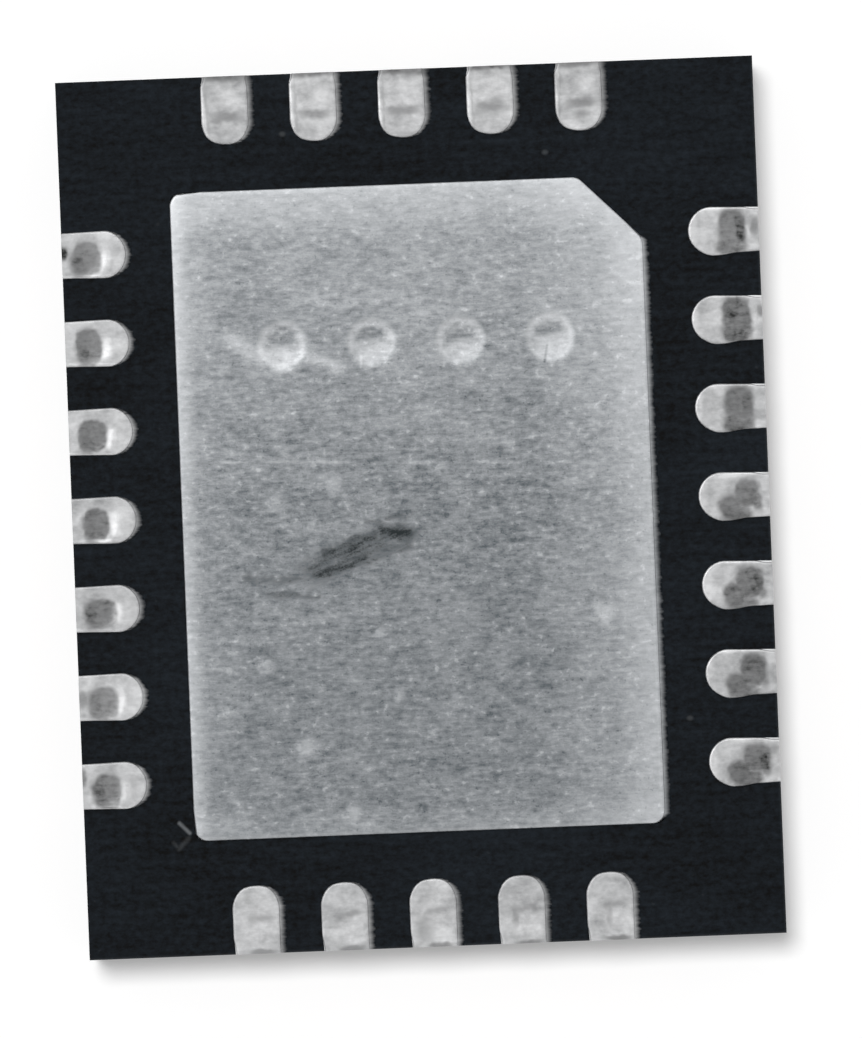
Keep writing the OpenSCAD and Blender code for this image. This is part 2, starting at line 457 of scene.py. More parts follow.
SAWN_SKIN = (0.003, 0.001)
UPRIGHT = (0.2, 0.4)
COPPER_TONE = {"lines": 0.55, "tarnish": 0.45}
CLEAN_COPPER = (0.34, 0.60)
# Depths over which the painted shade darkens a smeared slope, and its streaks.
SMEAR_SHADE_DEPTHS = (0.005, 0.0195)
SMEAR_SHADE_STREAKS = 0.5


def tin_grain(recipe, place):
    """Rubbing lines, fine mottling, soft blotches and broad clouds of the tin."""
    return {name: recipe.swing(place, "tin " + name) for name in ("grain", "mottle", "blotch", "cloud")}


def bare_and_shade_smear(recipe, finishes, place, tin, smear_shade_share, grain):
    """Bares the copper at the saw and paints shade down the smeared tin's slope, near-black and in streaks.
    """
    x, y, z = recipe.split(place)
    parts = {"lines": recipe.noise(place, "copper saw"), "tarnish": recipe.noise(place, "copper tarnish")}
    clean = recipe.ramp(weigh(COPPER_TONE, parts), *CLEAN_COPPER)
    copper = recipe.blend(clean, opaque(finishes.copper_dull), opaque(finishes.copper))
    upright = 1 - recipe.ramp(abs(recipe.up()), *UPRIGHT)
    sawn = recipe.at_side(abs(x), abs(y), *SAWN_SKIN) * upright
    bared = recipe.blend(sawn, tin, copper)
    # Painted shade down the smeared slope, darker the deeper it goes, in streaks.
    painted_smear_shade = smear_shade_share * (1 - sawn) * recipe.ramp(LAND_TOP - z, *SMEAR_SHADE_DEPTHS) * (1 - SMEAR_SHADE_STREAKS * grain)
    return recipe.blend(painted_smear_shade, bared, opaque(finishes.painted_smear_shade))


PAD_SHIFT = -0.015
PAD_GREY = 0.226
PAD_RUBBING = {"grain": 0.54, "mottle": 0.48, "blotch": 0.33, "cloud": 0.28, "fine": 0.20}
RUBBING_GAIN = 1.1
RUBBING_LOSS = 0.9
CALM_SHARE = 0.80
CALM_SPAN = (-0.9, 0.3)
PAD_TONE = {
    "spots": 0.34,
    "wings": 0.26,
    "scratch": 0.18,
    "flecks": 0.16,
    "pores": -0.14,
    "disc": 0.16,
    # Painted highlights and painted dark reflections of the test marks.
    "painted_highlight": 0.26,
    "painted_dark_reflection": -0.26,
    "nick": -0.32,
    "burr": 0.20,
}
PAD_ROUGHNESS = 0.45
PAD_ROUGH = {"edges": 0.12, "mottle": 0.15, "disc": -0.06}
PAD_RELIEF_HEIGHT = 0.0007
DISC_SMOOTH = 0.5
# Where the pad is paler: paler tin in the broad bands, painted rim highlights in the narrow left and bottom
# bands and at the smear line. Each gives the edge it is measured from, how much, and the distances where it
# starts to fade and has faded. The cut is measured from a line along it, and the smear from a line beside the
# right edge.
PALE_TIN_AND_RIM_HIGHLIGHTS = (
    # Painted rim highlight along the left edge.
    ("left", 0.24, 0.025, 0.120),
    ("left", 0.08, 0.05, 0.40),
    ("right", 0.18, 0.03, 0.30),
    ("right", 0.16, 0.15, 0.80),
    ("top", 0.25, 0.02, 0.36),
    ("top", 0.17, 0.30, 2.20),
    ("bottom", 0.10, 0.03, 0.20),
    # Painted rim highlight along the bottom edge.
    ("bottom", 0.12, 0.010, 0.030),
    ("cut", 0.06, 0.0, 0.55),
    # Painted highlight along a line beside the smeared right edge.
    ("smear", 0.07, 0.0, 0.014),
)
CUT_LINE = 2.75
SMEAR_LINE = 0.028
# How far in from the right edge the pad's painted shade reaches.
PAD_SMEAR_SHADE = (0.020, 0.050)
# Where pale spots lie on the pad, how big they are and how strong.
PALE_SPOTS = (
    ((1.016, -0.634), 0.055, 1.0),
    ((-0.697, -1.336), 0.060, 0.9),
    ((-0.451, -1.706), 0.040, 0.9),
    ((-0.904, -0.868), 0.050, 0.7),
    ((-0.163, -1.050), 0.035, 0.6),
    ((-0.266, -0.687), 0.030, 0.7),
    ((-1.090, -0.789), 0.025, 0.6),
    ((-0.813, 0.047), 0.050, 0.5),
    ((-0.503, 0.152), 0.060, 0.6),
    ((0.135, 0.226), 0.030, 0.6),
)
SPOT_RAGGED = 0.09
SPOT_FLATNESS = 0.85
SPOT_SOFT = 0.7
SMALL_SPOTS = 0.65
SCRATCH = ((1.0, (-1.15, 0.305), (0.57, 0.237), 0.015),)
NICK = ((1.0, (0.748, 0.889), (0.731, 0.799), 0.013),)
BURR = ((1.0, (-0.303, 0.870), (-0.306, 0.808), 0.013),)
WINGS = (
    (1.0, (-1.05, 1.000), (-0.84, 0.880), 0.080),
    (1.0, (-0.63, 0.900), (-0.43, 0.810), 0.065),
)
WING_SPOT = ((-0.735, 0.850), (0.092, 0.066), 0.3)
WING_SPOT_STRENGTH = 0.6
SMUDGE_TURN = math.radians(21)
SMUDGE_GRAIN = {"grain": 1.2, "mottle": 0.9, "fine": 0.9}
SMUDGE_LEVELS = (0.06, 1.28)
SMUDGE_STREAKS = 1.3
SMUDGE_DRIFT = 0.10
SMUDGE_RAGGED = {"drift": 0.05, "blotch": 0.08, "mottle": 0.04}
SMUDGE_BROAD = (
    (1.05, (-0.215, -0.122), (-0.075, -0.142), 0.092),
    (0.84, (-0.540, -0.242), (-0.270, -0.160), 0.088),
    (0.90, (-0.610, -0.354), (-0.320, -0.272), 0.074),
    (0.66, (-0.620, -0.325), (-0.230, -0.180), 0.170),
    (0.60, (-0.320, -0.272), (-0.070, -0.205), 0.062),
)
SMUDGE_FINE = (
    (0.55, (-0.310, -0.058), (-0.230, -0.066), 0.040),
    (0.55, (-0.200, -0.036), (-0.095, -0.038), 0.032),
    (0.56, (-1.000, -0.362), (-0.640, -0.380), 0.050),
    (0.60, (-0.880, -0.460), (-0.600, -0.466), 0.038),
)


def pad_material(sizes, finishes):
    """Tin on the exposed pad: rubbed grey in the middle, paler towards its sides with painted rim highlights,
    with marks, smears and painted shade down its smeared right side.
    """
    material, recipe = start_material("pad_tin")
    place = recipe.place()
    x, y = recipe.split(place)[:2]
    parts = tin_grain(recipe, place)
    parts["fine"] = recipe.swing(place, "tin fine")
    half_width = sizes.pad_width / 2
    half_length = sizes.pad_length / 2
    past = {
        "left": x - (PAD_SHIFT - half_width),
        "right": (PAD_SHIFT + half_width) - x,
        "top": half_length - y,
        "bottom": y + half_length,
        "cut": CUT_LINE - (x + y),
    }
    past["smear"] = abs(past["right"] - SMEAR_LINE)
    # Paler tin, with painted rim highlights in the narrow bands.
    edges = sum(gain * (1 - recipe.ramp(past[edge], near, far)) for edge, gain, near, far in PALE_TIN_AND_RIM_HIGHLIGHTS)
    ragged_x = x + SPOT_RAGGED * parts["mottle"]
    ragged_y = y + SPOT_RAGGED * parts["blotch"]
    parts["edges"] = edges
    parts["spots"] = recipe.most(
        SMALL_SPOTS * recipe.specks(place, "pad spots"),
        *[
            strength * recipe.oval(ragged_x, ragged_y, middle, (half, SPOT_FLATNESS * half), SPOT_SOFT)
            for middle, half, strength in PALE_SPOTS
        ],
    )
    parts["wings"] = recipe.most(
        recipe.strokes(x, ragged_y, WINGS), WING_SPOT_STRENGTH * recipe.oval(x, ragged_y, *WING_SPOT)
    )
    parts["scratch"] = recipe.specks(place, "pad breaks") * recipe.strokes(x, y, SCRATCH)
    parts["flecks"] = recipe.specks(place, "pad flecks")
    parts["pores"] = recipe.specks(place, "pad pores")
    parts["nick"] = recipe.strokes(x, y, NICK)
    parts["burr"] = recipe.strokes(x, y, BURR)
    parts.update(mark_shape(recipe, sizes.mark, x, y + MARK_RAGGED * parts["mottle"]))
    calm = CALM_SHARE + (1 - CALM_SHARE) * recipe.ramp(y, *CALM_SPAN)
    rubbing = weigh(PAD_RUBBING, parts) * calm
    tone = PAD_GREY + edges + (RUBBING_GAIN - RUBBING_LOSS * edges) * rubbing + weigh(PAD_TONE, parts)
    tin = recipe.blend(tone, opaque(finishes.pad_dull), opaque(finishes.pad_bright))
    smudge = smudge_shape(recipe, place, x, y, parts) * (1 + weigh(SMUDGE_GRAIN, parts))
    stained = recipe.blend(recipe.ramp(smudge, *SMUDGE_LEVELS), tin, opaque(finishes.pad_stain))
    # Painted shade down the smeared right side of the pad.
    smear_shade_share = 1 - recipe.ramp(past["right"], *PAD_SMEAR_SHADE)
    base = bare_and_shade_smear(recipe, finishes, place, stained, smear_shade_share, parts["grain"])
    roughness = PAD_ROUGHNESS + weigh(PAD_ROUGH, parts)
    relief = (parts["grain"] + parts["mottle"]) * (1 - DISC_SMOOTH * parts["disc"])
    recipe.surface(base, roughness, 1.0, recipe.bump(relief, PAD_RELIEF_HEIGHT))
    return material


def smudge_shape(recipe, place, x, y, grains):
    """The dark rubbed smear left of the pad's middle."""
    drift = recipe.swing(place, "smudge drift")
    rubbed_x = x + SMUDGE_DRIFT * drift
    rubbed_y = y + weigh(SMUDGE_RAGGED, {**grains, "drift": drift})
    along = math.cos(SMUDGE_TURN) * x + math.sin(SMUDGE_TURN) * y
    across = math.cos(SMUDGE_TURN) * y - math.sin(SMUDGE_TURN) * x
    turned = recipe.node("ShaderNodeCombineXYZ", {}, [along, across, 0.0])
    shape = recipe.most(
        recipe.strokes(rubbed_x, rubbed_y, SMUDGE_BROAD), recipe.strokes(x, rubbed_y, SMUDGE_FINE)
    )
    return shape * (1 + SMUDGE_STREAKS * recipe.swing(turned, "smudge streaks"))


# The round test marks. Their parts are measured from the middle of a mark.
PAD_MARKS = ((-0.747, 0.950), (-0.243, 0.946), (0.261, 0.942), (0.765, 0.938))
MARK_RAGGED = 0.03
MARK_SOFT = 0.16
ROW_SOFT = 0.02
FLOOR_MIDDLE = (0.0, -0.004)
FLOOR_SHARE = (0.76, 0.74)
FLOOR_SOFT = 0.25
# Painted highlights on a mark's lower part, right side and wall, and painted dark reflections of the dark
# overhead across it.
LOWER_HIGHLIGHT = ((0.008, -0.055), (0.098, 0.068), 0.8)
SHADED_MIDDLE = (-0.034, 0.004)
SHADED_SOFT = 0.2
RIGHT_HIGHLIGHT_STRENGTH = 1.1
WALL_HIGHLIGHT_STRENGTH = 0.80
REFLECTION_LIFT = 0.022
LIFT_SPAN = (0.20, 0.24)
MARK_DARK_REFLECTIONS = (
    (1.0, (-0.050, 0.016), (0.045, 0.026), 0.052),
    (0.8, (-0.066, 0.002), (-0.020, 0.006), 0.040),
)


def mark_shape(recipe, radius, x, y):
    """The four round test marks: pale worn discs, painted highlights on their lower parts, right sides and
    walls, and painted dark reflections across them.
    """
    run = (PAD_MARKS[-1][0] - PAD_MARKS[0][0], PAD_MARKS[-1][1] - PAD_MARKS[0][1])
    step = run[0] / (len(PAD_MARKS) - 1)
    row_half = (run[0] + step) / 2
    past = x - PAD_MARKS[0][0]
    in_row = 1 - recipe.ramp(abs(past - run[0] / 2), row_half - ROW_SOFT, row_half)
    across = past.math("WRAP", step / 2, -step / 2)
    along = y - (past * (run[1] / run[0]) + PAD_MARKS[0][1])
    round_half = (radius, radius)
    floor_half = [share * radius for share in FLOOR_SHARE]
    disc = in_row * recipe.oval(across, along, (0, 0), round_half, MARK_SOFT)
    wall = disc * (1 - recipe.oval(across, along, FLOOR_MIDDLE, floor_half, FLOOR_SOFT))
    lower_highlight = recipe.oval(across, along, *LOWER_HIGHLIGHT)
    right = disc * (1 - recipe.oval(across, along, SHADED_MIDDLE, round_half, SHADED_SOFT))
    second_or_fourth = 1 - recipe.ramp(abs(abs(past - 2 * step) - step), *LIFT_SPAN)
    # Painted dark reflections across the marks.
    lines = recipe.strokes(across, along - REFLECTION_LIFT * second_or_fourth, MARK_DARK_REFLECTIONS)
    # Painted highlights on the marks' lower parts, right sides and walls.
    painted_highlight = recipe.most(lower_highlight, RIGHT_HIGHLIGHT_STRENGTH * right, WALL_HIGHLIGHT_STRENGTH * wall)
    return {"disc": disc, "painted_highlight": in_row * painted_highlight, "painted_dark_reflection": in_row * lines}


# Rubbed spots, painted darker as a dark reflection.
RUBBED_AND_DARK_REFLECTION_LAYER = "stain"
# Painted glints on the lands.
PAINTED_GLINT_LAYER = "shine"
# Painted shade down the smeared edge of a land.
SMEAR_SHADE_LAYER = "smear_shade_share"
LAND_GREY = 0.61
# The glint share raises the tone as a painted glint and lowers the roughness as polish.
LAND_TONE = {"grain": 0.20, "mottle": 0.46, "blotch": 0.80, "cloud": 0.40, "polished": 0.32}
STAIN_GRAIN = {"grain": 0.7, "mottle": 1.2, "blotch": 1.1}
LAND_ROUGHNESS = 0.52
LAND_ROUGH = {"rubbed": -0.14, "polished": -0.12, "mottle": 0.15}
LAND_RELIEF_HEIGHT = 0.0006


def land_material(finishes):
    """Pale tin on the lands, rubbed where a contact has pressed it, with painted dark reflections in the
    rubbed spots, painted glints and painted shade down the smeared edge.
    """
    material, recipe = start_material("land_tin")
    place = recipe.place()
    parts = tin_grain(recipe, place)
    parts["rubbed"] = recipe.layer(RUBBED_AND_DARK_REFLECTION_LAYER)
    parts["polished"] = recipe.layer(PAINTED_GLINT_LAYER)
    # Painted glints brighten the tin.
    tone = LAND_GREY + weigh(LAND_TONE, parts)
    tin = recipe.blend(tone, opaque(finishes.land_dull), opaque(finishes.land_bright))
    # Rubbed spots, painted darker as the dark overhead mirrored in their burnished floors.
    dark = parts["rubbed"] * (1 + weigh(STAIN_GRAIN, parts))
    stained = recipe.blend(dark, tin, opaque(finishes.land_rub_and_dark_reflection))
    base = bare_and_shade_smear(recipe, finishes, place, stained, recipe.layer(SMEAR_SHADE_LAYER), parts["grain"])
    roughness = LAND_ROUGHNESS + weigh(LAND_ROUGH, parts)
    relief = recipe.bump(parts["grain"] + parts["mottle"], LAND_RELIEF_HEIGHT)
    recipe.surface(base, roughness, 1.0, relief)
    return material


# Finishes inside the compound: circuit blocks on silicon, flakes in silver epoxy and drawn gold wire.
# Cells are counted in a millimetre, and relief is the part that stands up and its height.
HIDDEN = {
    "silicon": {
        "grain": "circuit",
        "cells": 4.0,
        "grey": 0.7,
        "tone": {"cells": 0.4, "grain": 0.3},
        "roughness": 0.15,
        "rough": {"grain": 0.2},
        "metallic": 0.3,
        "relief": ("grain", 0.0002),
    },
    "silver_epoxy": {
        "grain": "clots",
        "cells": 90.0,
        "grey": 0.6,
        "tone": {"cells": 0.5, "grain": 0.3},
        "roughness": 0.4,
        "rough": {"grain": 0.3},
        "metallic": 0.6,
        "relief": ("cells", 0.002),
    },
    "gold_wire": {
        "grain": "drawn",
        "grey": 0.85,
        "tone": {"grain": 0.3},
        "roughness": 0.22,
        "rough": {"grain": 0.15},
        "metallic": 1.0,
        "relief": ("grain", 0.0006),
    },
}


def hidden_material(name, tint):
    """One of the finishes inside the compound."""
    finish = HIDDEN[name]
    material, recipe = start_material(name)
    place = recipe.place()
    parts = {"grain": recipe.noise(place, finish["grain"])}
    if "cells" in finish:
        sockets = {"Vector": place, "Scale": finish["cells"]}
        parts["cells"] = recipe.node("ShaderNodeTexVoronoi", {}, sockets, "Distance")
    base = recipe.scale(tint, finish["grey"] + weigh(finish["tone"], parts))
    roughness = finish["roughness"] + weigh(finish["rough"], parts)
    raised, height = finish["relief"]
    recipe.surface(base, roughness, finish["metallic"], recipe.bump(parts[raised], height))
    return material


def coat(piece, material):
    piece.data.materials.clear()
    piece.data.materials.append(material)


# Modelling

PAD_CELL = 0.025
LAND_CELL = 0.0075
RIM_TURNS = [math.radians(degrees) for degrees in (30, 60, 90)]
QUARTER = 90
EIGHTH = 45
CORNER_CUTS = 6
CUT_END_CUTS = 3
TIP_CUTS = 15
LIP_SIDES = 48
DROOP = math.radians(5)
SAW_ALLOWANCE = 0.05
SKIN = 0.0006
TINY = 0.001
WELD = 0.00001
PRESSED_TOP = 0.015
SMOOTH_ANGLE = math.radians(40)
SMEAR_BANDS = 8
SMEAR_CURVE = 1.2
PAD_SMEAR_SEED = 11
SEEDS_A_LAND = 10
# How fast the painted shade grows across a smeared edge.
SMEAR_SHADE_GAIN = 1.4
MARK_NEAR = 1.5
MARK_CORE = 0.1
MARK_SPLITS = 2
# How far the wear differs from land to land.
PLACE_STRAY = (0.008, 0.006)
TILT_STRAY = 0.08
SIZE_RANGE = (0.9, 1.1)
DENT_RANGE = (0.85, 1.15)
RUB_RANGE = (0.85, 1.1)
RUB_SQUARENESS = 3
RAGGED = 0.009
RAGGED_PER_MM = 36


def select_only(piece):
    bpy.ops.object.select_all(action="DESELECT")
    piece.select_set(True)
    bpy.context.view_layer.objects.active = piece


def add_piece(name, primitive, **size):
    """Adds a primitive as a new piece and leaves it open for editing."""
    bpy.ops.object.select_all(action="DESELECT")
    primitive(**size)
    piece = bpy.context.active_object
    piece.name = name
    piece.data.name = name
    bpy.ops.object.transform_apply(location=True, rotation=True, scale=True)
    bpy.ops.object.mode_set(mode="EDIT")
    bpy.ops.mesh.select_mode(type="VERT")
    return piece


def reopen(piece):
    select_only(piece)
    bpy.ops.object.mode_set(mode="EDIT")
    bpy.ops.mesh.select_mode(type="VERT")


def close_edit():
    bpy.ops.mesh.select_all(action="SELECT")
    bpy.ops.mesh.normals_make_consistent(inside=False)
    bpy.ops.object.mode_set(mode="OBJECT")


def resize(value, centre=(0, 0, 0)):
    """Resizes what is selected about a point."""
    bpy.ops.transform.resize(value=value, center_override=centre)


def thicken(height):
    """Extrudes a flat piece upwards into a solid."""
    bpy.ops.mesh.select_all(action="SELECT")
    bpy.ops.mesh.extrude_region_move(TRANSFORM_OT_translate={"value": (0, 0, height)})


def add_sheet(name, low, high, cell):
    """A level sheet of small faces at the soldering plane."""
    span = (high[0] - low[0], high[1] - low[1])
    middle = ((low[0] + high[0]) / 2, (low[1] + high[1]) / 2, LAND_TOP)
    sheet = add_piece(
        name,
        bpy.ops.mesh.primitive_grid_add,
        x_subdivisions=round(span[0] / cell),
        y_subdivisions=round(span[1] / cell),
        size=1,
    )
    resize((*span, 1))
    bpy.ops.transform.translate(value=middle)
    return sheet


def pick(piece, wanted):
    """Selects the vertices whose place is wanted."""
    bpy.ops.mesh.select_all(action="DESELECT")
    mesh = bmesh.from_edit_mesh(piece.data)
    for vertex in mesh.verts:
        if wanted(vertex.co):
            vertex.select_set(True)
    mesh.select_flush_mode()
    bmesh.update_edit_mesh(piece.data)


def trim(point, outward, fill=False):
    """Cuts off what lies beyond a plane."""
    bpy.ops.mesh.select_all(action="SELECT")
    bpy.ops.mesh.bisect(
        plane_co=(*point, LAND_TOP), plane_no=(*outward, 0), use_fill=fill, clear_outer=True
    )


def trim_round(middle, radius, first, last, steps):
    """Rounds a corner with cuts along its arc."""
    for step in range(steps):
        turn = math.radians(first + (last - first) * (step + 0.5) / steps)
        outward = (math.cos(turn), math.sin(turn))
        trim((middle[0] + radius * outward[0], middle[1] + radius * outward[1]), outward)


def lower_rim(drop, stretch, middle):
    """Extrudes the open rim downwards and spreads it."""
    bpy.ops.mesh.select_all(action="DESELECT")
    bpy.ops.mesh.select_non_manifold(
        extend=False,
        use_wire=False,
        use_boundary=True,
        use_multi_face=False,
        use_non_contiguous=False,
        use_verts=False,
    )
    bpy.ops.mesh.extrude_edges_move(TRANSFORM_OT_translate={"value": (0, 0, -drop)})
    resize((*stretch, 1), (*middle, 0))


def roll_rim(rim, reach, middle):
    """Rolls the open rim of a sheet over into a rounded edge."""
    out_before = 0
    drop_before = 0
    for turn in RIM_TURNS:
        out = rim * math.sin(turn)
        drop = rim * (1 - math.cos(turn))
        stretch = [(half + out) / (half + out_before) for half in reach]
        lower_rim(drop - drop_before, stretch, middle)
        out_before = out
        drop_before = drop


def drop_walls(rim, bottom):
    """Drops the rim to the mould face, leaves two close rings there and closes the walls at the bottom."""
    for drop in (LAND_TOP - rim - MOULD_FACE - SKIN, 2 * SKIN, MOULD_FACE - SKIN - bottom):
        lower_rim(drop, (1, 1), (0, 0))
    bpy.ops.mesh.edge_face_add()
    close_edit()


def pull_back(piece, way, start, reach, distance):
    """Draws the top of an edge back from where its tin is smeared."""
    pick(piece, lambda co: co.z > MOULD_FACE + 2 * SKIN and co.x * way[0] + co.y * way[1] > start)
    share = 1 - distance / reach
    resize((share if way[0] else 1, share if way[1] else 1, 1), (way[0] * start, way[1] * start, 0))


def smear_edge(piece, way, start, reach, sizes, seed):
    """Pulls tin off an edge, the more it faces the given way, and lays it ragged on the mould face."""
    height = MOULD_FACE + SKIN
    for step in range(SMEAR_BANDS):
        band = SMEAR_BANDS - step
        low = start + reach * (band - 1) / SMEAR_BANDS
        high = start + reach * band / SMEAR_BANDS if step else math.inf
        share = (band / SMEAR_BANDS) ** SMEAR_CURVE
        pick(piece, lambda co: abs(co.z - height) < SKIN / 2 and low < co.x * way[0] + co.y * way[1] <= high)
        bpy.ops.transform.translate(value=[sizes.smear * part * share for part in (*way, 0)])
        bpy.ops.transform.vertex_random(
            offset=sizes.smear_ragged * share, uniform=1.0, normal=0.0, seed=seed + step
        )
        resize((1, 1, 0), (0, 0, height))


def join_solid(piece, other):
    """Makes two solids one."""
    select_only(piece)
    union = piece.modifiers.new("join", "BOOLEAN")
    union.operation = "UNION"
    union.solver = "EXACT"
    union.object = other
    bpy.ops.object.modifier_apply(modifier=union.name)
    bpy.data.objects.remove(other)


def oval_power(dx, dy, half, tilt, power):
    """How far out a place lies in a turned oval, to a power: 1 on its outline."""
    along = abs(dx * math.cos(tilt) + dy * math.sin(tilt)) / half[0]
    across = abs(dy * math.cos(tilt) - dx * math.sin(tilt)) / half[1]
    return along ** power + across ** power


def push_softly(value, falloff, reach):
    """Moves what is selected, and what lies round it less and less."""
    bpy.ops.transform.translate(
        value=value, use_proportional_edit=True, proportional_edit_falloff=falloff, proportional_size=reach
    )


def press(piece, middle, half, tilt, depth, spread, falloff="SMOOTH"):
    """Presses a patch of the top face down, with a soft edge."""

    def inside(co):
        on_top = co.z > LAND_TOP - PRESSED_TOP
        return on_top and oval_power(co.x - middle[0], co.y - middle[1], half, tilt, 2) <= 1

    pick(piece, inside)
    push_softly((0, 0, -depth), falloff, spread)


def finish_piece(piece, turn, place, *nodes):
    """Turns a piece, puts it in its place in metres, hangs it on the root body and hides the CAD nodes that
    it stands for.
    """
    select_only(piece)
    piece.rotation_euler = (0, 0, turn)
    piece.location = (place[0] * MM, place[1] * MM, 0)
    piece.scale = (MM, MM, MM)
    bpy.ops.object.transform_apply(location=True, rotation=True, scale=True)
    bpy.ops.object.shade_smooth_by_angle(angle=SMOOTH_ANGLE)
    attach(piece, "root")
    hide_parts(*nodes)


class OBJECT_OT_chip_mould(bpy.types.Operator):
    """Gives the mould compound its finish"""

    bl_idname = "object.chip_mould"
    bl_label = "Mould compound"

    def execute(self, context):
        coat(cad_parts["mould_body"], mould_material(context.scene.chip_finishes))
        return {"FINISHED"}


class OBJECT_OT_chip_inside(bpy.types.Operator):
    """Gives the die, the silver epoxy layer under it and the bond wires their finishes"""

    bl_idname = "object.chip_inside"
    bl_label = "Die and bond wires"

    def execute(self, context):
        finishes = context.scene.chip_finishes
        coat(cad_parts["die"], hidden_material("silicon", finishes.silicon))
        coat(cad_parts["die_attach"], hidden_material("silver_epoxy", finishes.epoxy))
        gold = hidden_material("gold_wire", finishes.gold)
        for name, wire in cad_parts.items():
            if name.startswith("bond_wire"):
                coat(wire, gold)
        return {"FINISHED"}


class OBJECT_OT_chip_paddle(bpy.types.Operator):
    """Models the die paddle: the tinned pad with its test marks, the etched lip and the tie bars"""

    bl_idname = "object.chip_paddle"
    bl_label = "Exposed pad"

    def execute(self, context):
        sizes = sizes_in_mm(context)
        half = (sizes.pad_width / 2, sizes.pad_length / 2)
        pad = self.add_land(sizes, half)
        join_solid(pad, self.add_lip(sizes, half))
        for side in (-1, 1):
            for end in (-1, 1):
                join_solid(pad, self.add_tie_bar(sizes, half, side, end))
        self.wear(pad, sizes, half)
        coat(pad, pad_material(sizes, context.scene.chip_finishes))
        finish_piece(pad, 0, (0, 0), "paddle")
        return {"FINISHED"}

    def add_land(self, sizes, half):
        rim = sizes.rim
        corner = sizes.pad_corner
        cut = sizes.pad_cut
        flat = (half[0] - rim, half[1] - rim)
        left = PAD_SHIFT - half[0]
        right = PAD_SHIFT + half[0]
        pad = add_sheet(
            "exposed_pad", (PAD_SHIFT - flat[0], -flat[1]), (PAD_SHIFT + flat[0], flat[1]), PAD_CELL
        )
        slant = math.sqrt(0.5)
        trim((right - cut / 2 - rim * slant, half[1] - cut / 2 - rim * slant), (slant, slant))
        for first, x, y in ((QUARTER, -1, 1), (2 * QUARTER, -1, -1), (3 * QUARTER, 1, -1)):
            middle = (PAD_SHIFT + x * (half[0] - corner), y * (half[1] - corner))
            trim_round(middle, corner - rim, first, first + QUARTER, CORNER_CUTS)
        trim((left + 2 * corner, half[1] - rim), (-math.sin(DROOP), math.cos(DROOP)))
        trim((left + rim, 2 * corner - half[1]), (-math.cos(DROOP), -math.sin(DROOP)))
        end = sizes.cut_end
        set_back = cut + end * math.tan(math.radians(EIGHTH / 2))
        trim_round((right - end, half[1] - set_back), end - rim, 0, EIGHTH, CUT_END_CUTS)
        trim_round((right - set_back, half[1] - end), end - rim, EIGHTH, QUARTER, CUT_END_CUTS)
        roll_rim(rim, flat, (PAD_SHIFT, 0))
        drop_walls(rim, COPPER_BACK + sizes.etched / 2)
        return pad

    def add_lip(self, sizes, half):
        grow = sizes.pad_lip
        reach = (half[0] + grow, half[1] + grow)
        lip = add_piece("paddle_lip", bpy.ops.mesh.primitive_plane_add, size=1)
        resize((2 * reach[0], 2 * reach[1], 1))
        bpy.ops.transform.translate(value=(PAD_SHIFT, 0, COPPER_BACK))
        pick(lip, lambda co: co.x < PAD_SHIFT or co.y < 0)
        bpy.ops.mesh.bevel(
            offset=sizes.pad_corner + grow, segments=CORNER_CUTS, affect="VERTICES", offset_type="OFFSET"
        )
        pick(lip, lambda co: co.x > PAD_SHIFT + reach[0] - TINY and co.y > reach[1] - TINY)
        bpy.ops.mesh.bevel(
            offset=sizes.pad_cut + grow * (2 - math.sqrt(2)), segments=1, affect="VERTICES"
        )
        thicken(sizes.etched)
        close_edit()
        return lip

    def add_tie_bar(self, sizes, half, side, end):
        width = sizes.tie_width
        thick = sizes.etched
        foot = Vector((PAD_SHIFT + side * (half[0] - sizes.pad_cut), end * (half[1] - sizes.pad_cut)))
        corner = Vector((side * HALF_WIDTH, end * HALF_LENGTH))
        run = corner - foot
        reach = run.length + width
        middle = foot + run.normalized() * (reach / 2)
        bar = add_piece(
            "tie_bar",
            bpy.ops.mesh.primitive_cube_add,
            size=1,
            location=(middle.x, middle.y, COPPER_BACK + thick / 2),
            rotation=(0, 0, math.atan2(run.y, run.x)),
            scale=(reach, width, thick),
        )
        trim((side * HALF_WIDTH, 0), (side, 0), fill=True)
        trim((0, end * HALF_LENGTH), (0, end), fill=True)
        close_edit()
        return bar

    def wear(self, pad, sizes, half):
        """Smears the right edge and presses the round test marks."""
        radius = sizes.mark
        corner = sizes.pad_corner
        edge = PAD_SHIFT + half[0]
        near = (MARK_NEAR * radius) ** 2
        core = (MARK_CORE * radius, MARK_CORE * radius)
        reopen(pad)
        pull_back(pad, (1, 0), edge - corner, corner, sizes.smear_pull)
        smear_edge(pad, (1, 0), edge - sizes.smear, sizes.smear, sizes, PAD_SMEAR_SEED)
        for x, y in PAD_MARKS:
            pick(pad, lambda co: co.z > LAND_TOP - TINY and (co.x - x) ** 2 + (co.y - y) ** 2 < near)
            bpy.ops.mesh.subdivide(number_cuts=MARK_SPLITS)
            press(pad, (x, y), core, 0, sizes.mark_depth, radius, falloff="INVERSE_SQUARE")
        bpy.ops.object.mode_set(mode="OBJECT")


class Row(SimpleNamespace):
    """One row of leads, drawn with X out of the body across its sawn side."""

    def stains_on(self, number):
        """The row's second half can have other stains than its first, and a lead can add its own."""
        in_first_half = number < self.numbers[len(self.numbers) // 2]
        usual = self.stains if in_first_half else getattr(self, "late", self.stains)
        return usual + self.own_stains.get(number, [])


